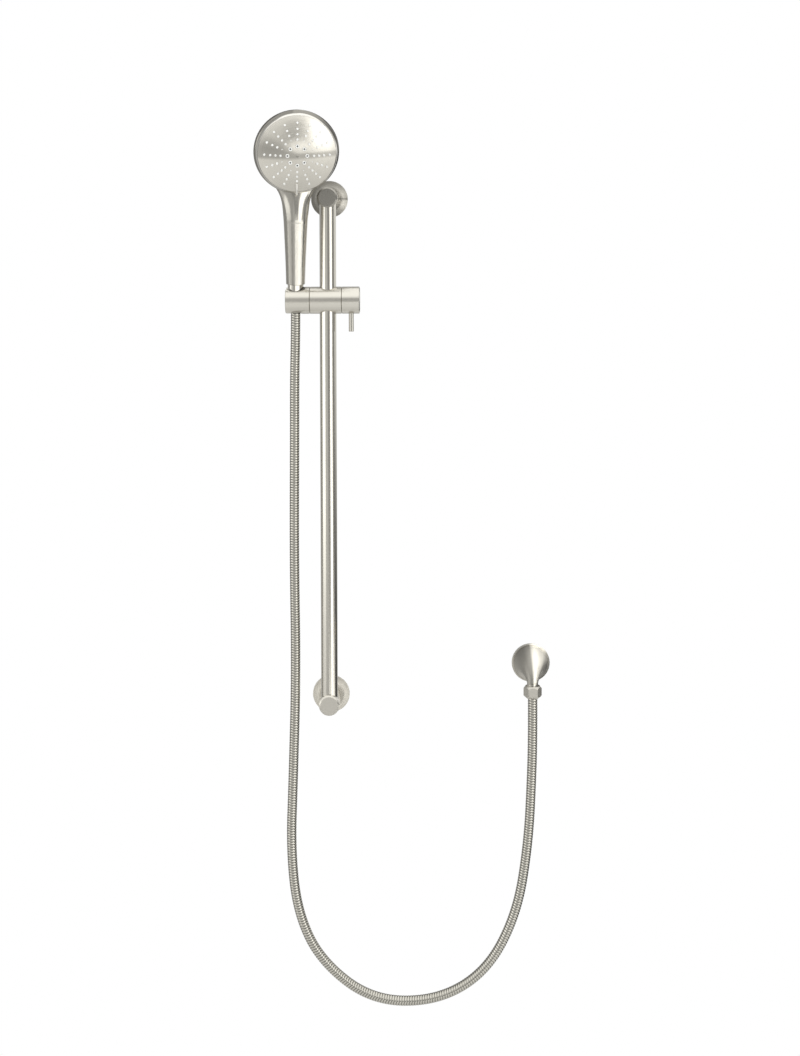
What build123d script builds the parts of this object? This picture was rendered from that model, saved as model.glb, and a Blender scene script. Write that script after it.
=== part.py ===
from build123d import *
from math import asin, cos, degrees, pi, radians, sin, sqrt, tan
import os

# Hand shower on a wall rail: two brackets, a round rail, a locking slider with a tilting
# holder, a round multi-spray handset, a metal hose and a wall outlet elbow.
# Millimetres. The origin is on the wall, midway between the two brackets:
# +X right, +Z up, the wall is the plane y = 0 and the set stands out towards -Y.

os.makedirs("parts", exist_ok=True)

# ---------------------------------------------------------------- driving dimensions
BRACKET_SPACING = 762.0
RAIL_OFFSET = 58.0
RAIL_R = 12.5
RAIL_WALL = 1.5
RAIL_END = 6.0

POST_R = 15.3
POST_BACK = 3.2
POST_FRONT = 72.7
CAP_FRONT = 75.0
CAP_FLAT_R = 13.0
FLANGE_R = 28.25
FLANGE_EDGE = 1.6
FLANGE_DEPTH = 15.0
PLATE_R = 19.0
PLATE_THICKNESS = 3.0
SPIGOT_R = 10.0
SPIGOT_END = 32.0
GRUB_DEPTH = 28.0
GRUB_R = 2.45
WALL_SCREW_R = 2.5
WALL_SHANK_R = 1.9
WALL_SCREW_DEPTH = 42.0

ELBOW_X = 307.5
ELBOW_Z = -334.4
ELBOW_FLANGE_R = 29.2
ELBOW_FLANGE_THICKNESS = 3.6
OUTLET_OFFSET = 40.0
THREAD_R = 10.45
NIPPLE_R = 10.0
NIPPLE_STEP = -1.0
NIPPLE_END = -22.0
NECK_Z = -358.0
SPIGOT_TOP_Z = -360.6
OUTLET_END_Z = -371.0
NUT_TOP_Z = -360.4
NUT_BOTTOM_Z = -379.0
NUT_FLATS = 24.0

HOSE_R = 7.3
HOSE_BORE_R = 5.9
LINER_R = 4.8
LINER_BORE_R = 3.4

SLIDER_Z = 226.5
SLIDER_R = 20.4
HOLDER_X = -48.8
HOLDER_LEFT = -63.6
HOLDER_RIGHT = -27.3
HOUSING_LEFT = -26.8
HOUSING_RIGHT = 20.6
KNOB_LEFT = 21.1
KNOB_RIGHT = 48.2
BUSH_R = 15.0
BUSH_HALF = 13.0
LEVER_X = 35.0
LEVER_R = 3.8
LEVER_TIP = 47.4
SLOT_WIDTH = 16.5
BRAKE_R = 5.9

LEAN = 8.0
SIDE_LEAN = 0.8
HANDSET_TURN = 7.0
FACE_ANGLE = 10.0
HEAD_UP = 225.5
HEAD_FORWARD = 18.0
HANDLE_BOTTOM = 25.2
HANDLE_FLOOR = 46.0
NECK_LOW = 118.0
NECK_STEP = 10.0
SHELL_WALL = 2.6
NUT_RING_R = 11.95
NUT_TIP_R = 10.0
NUT_RING_BOTTOM = 14.0
NUT_TIP = -15.0
HOSE_TOP = -14.0

FACE_APEX = 27.0
FACE_DOME_R = 130.0
FACE_R = 57.6
FACE_THICKNESS = 1.8
NOZZLE_RINGS = (24.5, 31.8, 39.3, 47.8)
MASSAGE_RING = 14.5
MIST_RING = 24.3
DIAL_STEP = 45.0

# ---------------------------------------------------------------- frames
holder_frame = Pos(HOLDER_X, -RAIL_OFFSET, SLIDER_Z) * Rot(LEAN, 0, 0)
seat_turn = Rot(0, SIDE_LEAN, 0)
handset_frame = holder_frame * seat_turn * Rot(0, 0, HANDSET_TURN)
face_frame = handset_frame * Pos(0, -HEAD_FORWARD, HEAD_UP) * Rot(FACE_ANGLE + 90, 0, 0)
slider_frame = Pos(0, -RAIL_OFFSET, SLIDER_Z)
elbow_frame = Pos(ELBOW_X, 0, ELBOW_Z) * Rot(90, 0, 0)
outlet_axis = Pos(ELBOW_X, -OUTLET_OFFSET, 0)

X_AXIS = (1, 0, 0)
Y_AXIS = (0, 1, 0)
Z_AXIS = (0, 0, 1)


# ---------------------------------------------------------------- building blocks
def rod(radius, start, axis, length):
    """A cylinder from a start point along an axis."""
    return Solid.make_cylinder(radius, length, Plane(origin=start, z_dir=axis))


def taper(radius_start, radius_end, start, axis, length):
    """A cone frustum, or a cylinder where both radii are equal, from a start point."""
    if radius_start == radius_end:
        return rod(radius_start, start, axis, length)
    return Solid.make_cone(radius_start, radius_end, length, Plane(origin=start, z_dir=axis))


def tube(outer, inner, start, axis, length):
    """A hollow cylinder."""
    return rod(outer, start, axis, length) - rod(inner, start, axis, length)


def bar(x_range, y_range, z_range):
    """A rectangular block between two values on each axis."""
    size = [high - low for low, high in (x_range, y_range, z_range)]
    centre = [(high + low) / 2 for low, high in (x_range, y_range, z_range)]
    return Pos(*centre) * Box(*size)


def turned(*edges):
    """A solid of revolution about Z from a closed outline drawn in the XZ plane."""
    placed = [edge for line in edges for edge in (Plane.XZ * line).edges()]
    return revolve(make_face(placed), Axis.Z, 360)


def outline(points):
    """A closed outline of straight lines, in the XZ plane, given as (radius, height)."""
    return revolve(make_face(Plane.XZ * Polyline(*points, close=True)), Axis.Z, 360)


def save(name, shape):
    """Writes one node and prints its volume in cubic centimetres."""
    solids = shape.solids()
    body = solids[0] if len(solids) == 1 else Compound(children=list(solids))
    export_step(body, f"parts/{name}.step")
    print(f"{name:24s} {sum(s.volume for s in solids) / 1000:9.2f} cm3")


def group(shapes):
    """Several separate solids kept as one node."""
    return Compound(children=[solid for shape in shapes for solid in shape.solids()])


# ---------------------------------------------------------------- rail and brackets
def bracket_frame(side):
    """Bracket axes, upper (+1) or lower (-1): local +Z out of the wall, local +Y up."""
    return Pos(0, 0, side * BRACKET_SPACING / 2) * Rot(90, 0, 0)


def make_rail():
    half = BRACKET_SPACING / 2 + RAIL_END
    rail = tube(RAIL_R, RAIL_R - RAIL_WALL, (0, -RAIL_OFFSET, -half), Z_AXIS, 2 * half)
    save("rail_tube", rail)
    plug_length = 14.0
    plugs = [
        rod(RAIL_R - RAIL_WALL - 0.1, (0, -RAIL_OFFSET, z), Z_AXIS, plug_length)
        for z in (-half, half - plug_length)
    ]
    save("rail_end_plugs", group(plugs))


def make_post(side):
    """Round post with a socket for the rail end, a bore for the spigot and a grub hole."""
    post = rod(POST_R, (0, 0, POST_BACK), Z_AXIS, POST_FRONT - POST_BACK)
    post -= rod(SPIGOT_R + 0.03, (0, 0, POST_BACK), Z_AXIS, SPIGOT_END + 0.3 - POST_BACK)
    post -= rod(RAIL_R + 0.03, (0, side * (RAIL_END + 0.05), RAIL_OFFSET), (0, -side, 0), 30)
    post -= rod(GRUB_R + 0.03, (0, 0, GRUB_DEPTH), (0, -1, 0), POST_R + 1)
    return post


def make_flange():
    """Trumpet cover that hides the wall plate and closes round the post."""
    lip_r = POST_R + 0.9
    bore_r = POST_R + 0.1
    recess_r = PLATE_R + 0.4
    recess = PLATE_THICKNESS + 0.1
    edge = Line((FLANGE_R, 0), (FLANGE_R, FLANGE_EDGE))
    flare = Spline(
        (FLANGE_R, FLANGE_EDGE),
        (20.4, 3.9),
        (lip_r, FLANGE_DEPTH),
        tangents=[(-1, 0.17), (-0.04, 1)],
    )
    lip = Polyline(
        (lip_r, FLANGE_DEPTH),
        (bore_r, FLANGE_DEPTH),
        (bore_r, recess),
        (recess_r, recess),
        (recess_r, 0),
        (FLANGE_R, 0),
    )
    return turned(edge, flare, lip)


def make_cap():
    """Flat front cap with a broad bevel."""
    return outline([
        (0, POST_FRONT),
        (POST_R, POST_FRONT),
        (POST_R, POST_FRONT + 0.4),
        (CAP_FLAT_R, CAP_FRONT),
        (0, CAP_FRONT),
    ])


def make_wall_plate():
    """Wall disc with a spigot, counterbored for one screw."""
    plate = rod(PLATE_R, (0, 0, 0), Z_AXIS, PLATE_THICKNESS)
    plate += rod(SPIGOT_R, (0, 0, PLATE_THICKNESS), Z_AXIS, SPIGOT_END - PLATE_THICKNESS)
    plate -= rod(WALL_SCREW_R + 0.1, (0, 0, 0), Z_AXIS, SPIGOT_END)
    plate -= rod(5.2, (0, 0, 10), Z_AXIS, SPIGOT_END)
    return plate


def make_brackets():
    screws = []
    grubs = []
    for side, name in ((1, "upper"), (-1, "lower")):
        frame = bracket_frame(side)
        save(f"{name}_post", frame * make_post(side))
        save(f"{name}_flange", frame * make_flange())
        save(f"{name}_cap", frame * make_cap())
        save(f"{name}_wall_plate", frame * make_wall_plate())
        screw = rod(WALL_SCREW_R, (0, 0, -WALL_SCREW_DEPTH), Z_AXIS, WALL_SCREW_DEPTH)
        screw += rod(WALL_SHANK_R, (0, 0, 0), Z_AXIS, 10)
        screw += taper(4.8, 3.4, (0, 0, 10), Z_AXIS, 3.2)
        screw -= bar((-0.6, 0.6), (-3.2, 3.2), (11.6, 13.6))
        screws.append(frame * screw)
        grub = rod(GRUB_R, (0, -SPIGOT_R - 0.05, GRUB_DEPTH), (0, -1, 0), 4.4)
        grub -= rod(1.3, (0, -POST_R, GRUB_DEPTH), (0, 1, 0), 3.0)
        grubs.append(frame * grub)
    save("wall_screws", group(screws))
    save("grub_screws", group(grubs))


# ---------------------------------------------------------------- wall outlet elbow
def make_elbow():
    flange = outline([
        (THREAD_R + 0.1, 0),
        (ELBOW_FLANGE_R, 0),
        (ELBOW_FLANGE_R, ELBOW_FLANGE_THICKNESS - 1.4),
        (ELBOW_FLANGE_R - 1.4, ELBOW_FLANGE_THICKNESS),
        (THREAD_R + 0.1, ELBOW_FLANGE_THICKNESS),
    ])
    save("elbow_flange", elbow_frame * flange)

    # The horn narrows and turns down: radius, distance out, drop and tilt of each section.
    sections = [
        (26.4, 3.6, 0.0, 0),
        (25.2, 9.0, 0.2, 2),
        (21.6, 18.0, 1.6, 16),
        (16.6, 27.6, 5.4, 40),
        (12.2, 35.0, 11.6, 64),
        (9.4, 39.2, 18.2, 82),
        (8.4, OUTLET_OFFSET, ELBOW_Z - NECK_Z, 90),
    ]
    rings = []
    for radius, out, drop, tilt in sections:
        normal = (0, -sin(radians(tilt)), cos(radians(tilt)))
        plane = Plane(origin=(0, -drop, out), x_dir=(1, 0, 0), z_dir=normal)
        rings.append(plane * Circle(radius))
    horn = elbow_frame * loft(rings)
    neck_height = NECK_Z - SPIGOT_TOP_Z + 2.0
    horn += outlet_axis * rod(8.4, (0, 0, SPIGOT_TOP_Z - 1.0), Z_AXIS, neck_height)
    spigot_height = SPIGOT_TOP_Z - OUTLET_END_Z
    horn += outlet_axis * rod(THREAD_R, (0, 0, OUTLET_END_Z), Z_AXIS, spigot_height)
    passage = [(22.0, -2.0), (29.0, -6.4), (35.6, -12.8), (40.0, -21.0)]
    for (out_a, up_a), (out_b, up_b) in zip(passage, passage[1:]):
        run = Vector(0, up_b - up_a, out_b - out_a)
        horn -= elbow_frame * rod(4.8, (0, up_a, out_a), run, run.length + 1.5)
    horn -= outlet_axis * rod(5.2, (0, 0, OUTLET_END_Z), Z_AXIS, ELBOW_Z - 20.0 - OUTLET_END_Z)
    horn -= elbow_frame * rod(NIPPLE_R + 0.03, (0, 0, ELBOW_FLANGE_THICKNESS), Z_AXIS, 6.6)
    horn -= elbow_frame * rod(8.4, (0, 0, 10), Z_AXIS, 16.3)
    horn -= elbow_frame * tube(NIPPLE_R + 2.15, NIPPLE_R, (0, 0, 4.4), Z_AXIS, 2.1)
    save("elbow_body", horn)

    nipple = tube(NIPPLE_R, 7.4, (0, 0, NIPPLE_STEP), Z_AXIS, 10 - NIPPLE_STEP)
    nipple += tube(THREAD_R, 7.4, (0, 0, NIPPLE_END), Z_AXIS, NIPPLE_STEP - NIPPLE_END)
    save("inlet_nipple", elbow_frame * nipple)
    seal = Solid.make_torus(NIPPLE_R + 1.05, 1.0, Plane(origin=(0, 0, 5.45)))
    save("elbow_o_ring", elbow_frame * seal)

    valve = tube(8.35, 6.4, (0, 0, 10.2), Z_AXIS, 16)
    for angle in (0, 90):
        valve += Rot(0, 0, angle) * bar((-7, 7), (-0.8, 0.8), (14, 16))
    valve += rod(4.6, (0, 0, 17.0), Z_AXIS, 1.6)
    valve += rod(1.2, (0, 0, 14.0), Z_AXIS, 10)
    save("check_valve", elbow_frame * valve)


def make_hex_nut():
    """Swivel nut of the hose: six flats, both ends turned to a cone, bored for thread and hose."""
    height = NUT_TOP_Z - NUT_BOTTOM_Z
    corner_r = NUT_FLATS / 2 / cos(radians(30))
    hexagon = extrude(Pos(0, 0, NUT_BOTTOM_Z) * RegularPolygon(corner_r, 6), height)
    shoulder = 10.9
    cone_height = 4.4
    turned_blank = outline([
        (0, NUT_BOTTOM_Z),
        (shoulder - 1.6, NUT_BOTTOM_Z),
        (corner_r + 0.3, NUT_BOTTOM_Z + cone_height),
        (corner_r + 0.3, NUT_TOP_Z - cone_height),
        (shoulder, NUT_TOP_Z),
        (0, NUT_TOP_Z),
    ])
    nut = hexagon & turned_blank
    ferrule_seat = OUTLET_END_Z - 4.0
    nut -= rod(THREAD_R + 0.03, (0, 0, ferrule_seat), Z_AXIS, 20)
    nut -= rod(8.3, (0, 0, NUT_BOTTOM_Z - 1), Z_AXIS, 20)
    save("hex_nut", outlet_axis * nut)

    washer = tube(9.8, 5.0, (0, 0, OUTLET_END_Z - 2.0), Z_AXIS, 2.0)
    save("nut_washer", outlet_axis * washer)
    ferrule = tube(9.9, LINER_BORE_R, (0, 0, ferrule_seat), Z_AXIS, 2.0)
    collar_low = NUT_BOTTOM_Z + 0.4
    collar = ferrule_seat - collar_low
    ferrule += tube(8.1, HOSE_R + 0.03, (0, 0, collar_low), Z_AXIS, collar)
    save("lower_ferrule", outlet_axis * ferrule)


# ---------------------------------------------------------------- hose
HOSE_END = (ELBOW_X, -OUTLET_OFFSET, OUTLET_END_Z - 4.0)
HOSE_START = tuple((handset_frame * Pos(0, 0, HOSE_TOP)).position)
HOSE_LEAVES = tuple((handset_frame * Pos(0, 0, HOSE_TOP - 41.0)).position)

# The route hangs from the holder, loops under its own weight and rises to the elbow.
HOSE_POINTS = [
    HOSE_START,
    HOSE_LEAVES,
    (-51.5, -47.5, 112.0),
    (-52.0, -46.0, 10.0),
    (-53.2, -48.0, -160.0),
    (-51.0, -46.5, -335.0),
    (-56.0, -48.0, -500.0),
    (-60.0, -49.0, -605.0),
    (-50.0, -49.0, -700.0),
    (-15.0, -48.5, -774.0),
    (62.0, -48.0, -834.0),
    (160.0, -46.5, -836.0),
    (236.0, -45.0, -792.0),
    (282.0, -43.0, -706.0),
    (300.0, -42.0, -600.0),
    (306.0, -40.6, -490.0),
    (307.5, -40.0, -425.0),
    HOSE_END,
]


def hose_path():
    """Straight runs joined by tangent arcs, each as large as its two runs allow."""
    corners = [Vector(*point) for point in HOSE_POINTS]
    runs = [b - a for a, b in zip(corners, corners[1:])]
    radii = []
    for before, after in zip(runs, runs[1:]):
        turn = radians(before.get_angle(after))
        radii.append(0.45 * min(before.length, after.length) / tan(turn / 2))
    print("hose radii", [round(radius) for radius in radii])
    return FilletPolyline(*corners, radius=radii)


def make_hose():
    path = hose_path()
    start = Plane(origin=path @ 0, z_dir=path % 0)
    for name, outer, inner in (
        ("hose_conduit", HOSE_R, HOSE_BORE_R),
        ("hose_liner", LINER_R, LINER_BORE_R),
    ):
        ring = start * (Circle(outer) - Circle(inner))
        pipe = sweep(ring, path=path)
        expected = pi * (outer ** 2 - inner ** 2) * path.length
        print(f"{name} length {path.length:.1f} volume ratio {pipe.volume / expected:.4f}")
        save(name, pipe)


# ---------------------------------------------------------------- slider on the rail
def make_slider():
    bush = tube(BUSH_R, RAIL_R + 0.06, (0, 0, -BUSH_HALF), Z_AXIS, 2 * BUSH_HALF)
    bush -= bar((2, 20), (-20, 20), (-BRAKE_R - 0.35, BRAKE_R + 0.35))
    save("rail_bush", slider_frame * bush)

    length = HOUSING_RIGHT - HOUSING_LEFT
    housing = rod(SLIDER_R, (HOUSING_LEFT, 0, 0), X_AXIS, length)
    housing = chamfer(housing.edges().filter_by(GeomType.CIRCLE), 0.4)
    housing -= rod(RAIL_R + 0.35, (0, 0, -30), Z_AXIS, 60)
    housing -= rod(BUSH_R + 0.05, (0, 0, -BUSH_HALF - 0.05), Z_AXIS, 2 * BUSH_HALF + 0.1)
    housing -= rod(12.1, (HOUSING_LEFT, 0, 0), X_AXIS, 1.0)
    housing -= rod(3.02, (HOUSING_LEFT, 0, 0), X_AXIS, 10)
    housing -= rod(BRAKE_R + 0.05, (10, 0, 0), X_AXIS, 7.6)
    housing -= rod(4.05, (10, 0, 0), X_AXIS, 12)
    save("slider_housing", slider_frame * housing)

    screw = rod(7.0, (-35.0, 0, 0), X_AXIS, 3.0)
    screw += rod(4.0, (-32.0, 0, 0), X_AXIS, 6.2)
    screw += rod(3.0, (-25.8, 0, 0), X_AXIS, 8.6)
    screw -= extrude(Plane(origin=(-35.0, 0, 0), z_dir=X_AXIS) * RegularPolygon(2.9, 6), 2.0)
    save("tilt_screw", slider_frame * screw)
    washer = tube(12.0, 4.1, (-27.25, 0, 0), X_AXIS, 1.45)
    save("friction_washer", slider_frame * washer)


def make_knob():
    """Locking knob with its lever, end cap and clamp screw, and the pad that grips the rail."""
    knob = rod(SLIDER_R, (KNOB_LEFT, 0, 0), X_AXIS, KNOB_RIGHT - 0.7 - KNOB_LEFT)
    knob = chamfer(knob.edges().filter_by(GeomType.CIRCLE), 0.4)
    knob -= rod(18.9, (KNOB_RIGHT - 2.4, 0, 0), X_AXIS, 3)
    knob -= rod(17.0, (KNOB_LEFT + 16.9, 0, 0), X_AXIS, 20)
    knob -= rod(4.02, (KNOB_LEFT - 1, 0, 0), X_AXIS, 20)
    knob -= rod(LEVER_R + 0.02, (LEVER_X, 0, -11), (0, 0, -1), 20)
    save("lock_knob", slider_frame * knob)

    cap = rod(18.85, (KNOB_RIGHT - 2.4, 0, 0), X_AXIS, 1.7)
    cap += taper(18.85, 18.1, (KNOB_RIGHT - 0.7, 0, 0), X_AXIS, 0.7)
    save("knob_cap", slider_frame * cap)

    lever = rod(LEVER_R, (LEVER_X, 0, -LEVER_TIP), Z_AXIS, LEVER_TIP - 11.1)
    lever = chamfer(lever.edges().filter_by(GeomType.CIRCLE), 0.5)
    save("lever_pin", slider_frame * lever)

    screw = rod(4.0, (17.5, 0, 0), X_AXIS, KNOB_LEFT + 18.9 - 17.5)
    screw += rod(7.0, (KNOB_LEFT + 16.9, 0, 0), X_AXIS, 3.5)
    save("clamp_screw", slider_frame * screw)

    pad = rod(BRAKE_R, (10, 0, 0), X_AXIS, 7.0)
    pad -= rod(RAIL_R + 0.05, (0, 0, -10), Z_AXIS, 20)
    save("brake_pad", slider_frame * pad)


# ---------------------------------------------------------------- tilting holder
# The seat runs parallel to the hose cone, a small gap away from it.
CONE_SLOPE = (NUT_RING_R - NUT_TIP_R) / (NUT_RING_BOTTOM - NUT_TIP)
SEAT_GAP = 0.3
SLEEVE_WALL = 1.1
MOUTH_ROUND = 3.2


def seat_cone(extra):
    """The conical space round the hose cone, grown outwards by a distance."""
    low, high = -24.0, 24.0
    base = NUT_TIP_R + SEAT_GAP + extra
    low_r = base + CONE_SLOPE * (low - NUT_TIP)
    high_r = base + CONE_SLOPE * (high - NUT_TIP)
    return taper(low_r, high_r, (0, 0, low), Z_AXIS, high - low)


def make_holder():
    """Cradle with a conical seat, open to the left so that the hose can be passed in."""
    left = HOLDER_LEFT - HOLDER_X
    right = HOLDER_RIGHT - HOLDER_X
    reach = SLIDER_R + 1
    plan = Pos((left + right) / 2, 0) * Rectangle(right - left, 2 * reach)
    plan -= Pos(left / 2 - 5, 0) * Rectangle(-left + 10, SLOT_WIDTH)
    lips = plan.vertices().filter_by_position(Axis.X, left - 0.1, left + 0.1)
    mouth = lips.filter_by_position(Axis.Y, -SLOT_WIDTH, SLOT_WIDTH)
    plan = fillet(mouth, MOUTH_ROUND)
    blank = extrude(Pos(0, 0, -reach) * plan, 2 * reach)
    barrel = rod(SLIDER_R, (left, 0, 0), X_AXIS, right - left)
    barrel = chamfer(barrel.edges().filter_by(GeomType.CIRCLE), 0.5)
    shell = blank & barrel
    shell -= seat_turn * seat_cone(SLEEVE_WALL + 0.03)
    shell -= rod(4.06, (10, 0, 0), X_AXIS, 20)
    shell -= rod(7.3, (5, 0, 0), X_AXIS, 12.6)
    save("holder_shell", holder_frame * shell)

    sleeve = seat_turn * (seat_cone(SLEEVE_WALL) - seat_cone(0))
    sleeve &= rod(SLIDER_R - 0.5, (-30, 0, 0), X_AXIS, 60)
    sleeve -= bar((-30, 0), (-SLOT_WIDTH / 2, SLOT_WIDTH / 2), (-30, 30))
    save("cone_sleeve", holder_frame * sleeve)


# ---------------------------------------------------------------- hose end and handset
def make_hose_end():
    core = tube(8.22, LINER_BORE_R, (0, 0, HOSE_TOP), Z_AXIS, 8.5 - HOSE_TOP)
    core += tube(9.8, LINER_BORE_R, (0, 0, 8.5), Z_AXIS, 1.9)
    save("hose_core", handset_frame * core)


def make_cone_nut():
    nut = outline([
        (THREAD_R + 0.03, HANDLE_BOTTOM - 0.2),
        (NUT_RING_R - 0.6, HANDLE_BOTTOM - 0.2),
        (NUT_RING_R, HANDLE_BOTTOM - 0.8),
        (NUT_RING_R, NUT_RING_BOTTOM),
        (NUT_TIP_R, NUT_TIP),
        (8.3, NUT_TIP),
        (8.3, 8.3),
        (THREAD_R + 0.03, 8.3),
    ])
    save("cone_nut", handset_frame * nut)


def grip(inset, low):
    """Turned lower part of the handle, from a height up to the neck."""
    profile = [(14.3, low), (15.4, 61.0), (16.9, 95.0), (18.0, NECK_LOW)]
    points = [(radius - inset, height) for radius, height in profile]
    side = Spline(*points, tangents=[(0.025, 1), (0.06, 1)])
    close = Polyline(points[-1], (0, NECK_LOW), (0, low), points[0])
    return turned(side, close)


def neck(inset):
    """Lofted upper handle: half width, front and back of evenly spaced sections."""
    sections = [
        (18.0, 18.0, -18.0),
        (18.7, 18.2, -17.6),
        (19.6, 17.6, -16.6),
        (20.9, 16.2, -15.2),
        (23.6, 14.0, -13.2),
        (28.6, 12.0, -10.8),
        (35.0, 11.0, -8.4),
        (40.5, 11.0, -6.2),
    ]
    faces = []
    for step, (half_width, front, back) in enumerate(sections):
        plane = Plane(origin=(0, -(front + back) / 2, NECK_LOW + NECK_STEP * step))
        faces.append(plane * Ellipse(half_width - inset, (front - back) / 2 - inset))
    return loft(faces)


def head_outline(inset):
    """Revolved head: shallow back dome, round rim and the opening that holds the spray face."""
    rim = 63.5 - inset
    back = -18.0 + inset
    shoulder = (45.0 - 0.4 * inset, -12.2 + inset)
    lip = 59.3
    dome = Spline((0, back), shoulder, (rim, 0), tangents=[(1, 0), (0.12, 1)])
    round_rim = ThreePointArc((rim, 0), (rim - 1.1, 3.9), (lip - inset, 7.0))
    close = Polyline((lip - inset, 7.0), (0, 7.0), (0, back))
    return turned(dome, round_rim, close)


def make_handset_shell():
    outer = handset_frame * (grip(0, HANDLE_BOTTOM) + neck(0))
    outer += face_frame * head_outline(0)
    inner = handset_frame * (grip(SHELL_WALL, HANDLE_FLOOR) + neck(SHELL_WALL))
    inner += face_frame * head_outline(SHELL_WALL)
    shell = outer - inner
    shell -= handset_frame * rod(THREAD_R + 0.03, (0, 0, HANDLE_BOTTOM - 5), Z_AXIS, 30)
    shell -= face_frame * rod(57.0, (0, 0, 3.0), Z_AXIS, 37.0)
    save("handset_shell", shell)


def face_point(up, out):
    """A point of the head's middle plane, given up the face and out along its normal."""
    angle = radians(FACE_ANGLE)
    height = HEAD_UP + up * cos(angle) - out * sin(angle)
    forward = HEAD_FORWARD + up * sin(angle) + out * cos(angle)
    return (0, -forward, height)


def make_waterway():
    insert = tube(THREAD_R, 5.5, (0, 0, 12.6), Z_AXIS, 33.2)
    save("inlet_insert", handset_frame * insert)
    restrictor = tube(5.45, 1.6, (0, 0, 14.0), Z_AXIS, 3.0)
    save("flow_restrictor", handset_frame * restrictor)
    washer = tube(9.9, 3.4, (0, 0, 10.5), Z_AXIS, 2.1)
    save("filter_washer", handset_frame * washer)

    bottom = Vector(0, 0, 46.0)
    top = Vector(*face_point(-68.6, -3.5))
    along = top - bottom
    pipe = tube(5.4, 4.1, bottom, along, along.length)
    save("waterway_tube", handset_frame * pipe)

    manifold = rod(40.0, (0, 0, -9.0), Z_AXIS, 12.0)
    manifold += rod(5.2, (0, -67.6, -3.5), Y_AXIS, 34.0)
    manifold -= rod(37.5, (0, 0, -7.0), Z_AXIS, 7.5)
    manifold -= rod(3.9, (0, -70.0, -3.5), Y_AXIS, 40.0)
    manifold += rod(5.0, (0, 0, -8.0), Z_AXIS, 9.0)
    for step in range(8):
        manifold -= Rot(0, 0, 22.5 + 45 * step) * rod(2.4, (20, 0, -1), Z_AXIS, 6)
    manifold -= rod(2.52, (0, 0, -5), Z_AXIS, 10)
    manifold += rod(3.2, (32, 0, -8.0), Z_AXIS, 9.0)
    manifold -= rod(1.65, (32, 0, -5), Z_AXIS, 10)
    save("manifold", face_frame * manifold)

    seal = Solid.make_torus(26.0, 0.95, Plane(origin=(0, 0, 3.97)))
    save("manifold_seal", face_frame * seal)

    pivot = rod(2.5, (0, 0, -4.9), Z_AXIS, 8.0)
    pivot += rod(3.5, (0, 0, 3.05), Z_AXIS, 8.2)
    pivot += rod(6.0, (0, 0, 11.2), Z_AXIS, 2.4)
    save("pivot_screw", face_frame * pivot)
    spring = tube(1.5, 0.9, (32, 0, -4.95), Z_AXIS, 3.9)
    save("detent_spring", face_frame * spring)
    plunger = rod(1.6, (32, 0, -1.0), Z_AXIS, 5.4)
    plunger += taper(1.6, 0.8, (32, 0, 4.4), Z_AXIS, 0.9)
    save("detent_plunger", face_frame * plunger)


# ---------------------------------------------------------------- turning spray face
def dome_height(radius):
    """Distance of the spray face from the head's ring plane at a radius."""
    return FACE_APEX - FACE_DOME_R + sqrt(FACE_DOME_R ** 2 - radius ** 2)


def dome_slice(depth, radius):
    """A solid under the dome, set back by a depth, out to a radius."""
    centre = FACE_APEX - FACE_DOME_R
    ball = Solid.make_sphere(FACE_DOME_R - depth, Plane(origin=(0, 0, centre)))
    return ball & rod(radius, (0, 0, 0), Z_AXIS, FACE_APEX + 5)


def nozzle_places():
    """Radius and angle of every silicone nozzle: eight long rows and eight short rows."""
    places = []
    for row in range(16):
        angle = 22.5 * row
        rings = NOZZLE_RINGS if row % 2 == 0 else NOZZLE_RINGS[1:]
        if angle == 270:
            rings = NOZZLE_RINGS[:3]
        places += [(radius, angle) for radius in rings]
    return places


def nozzle(radius, angle, depth, height, base_r, tip_r):
    """A small cone that stands square on the dome."""
    tilt = degrees(asin(radius / FACE_DOME_R))
    frame = Rot(0, 0, angle) * Pos(0, 0, FACE_APEX - FACE_DOME_R) * Rot(0, tilt, 0)
    return frame * taper(base_r, tip_r, (0, 0, FACE_DOME_R - depth), Z_AXIS, depth + height)


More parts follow.
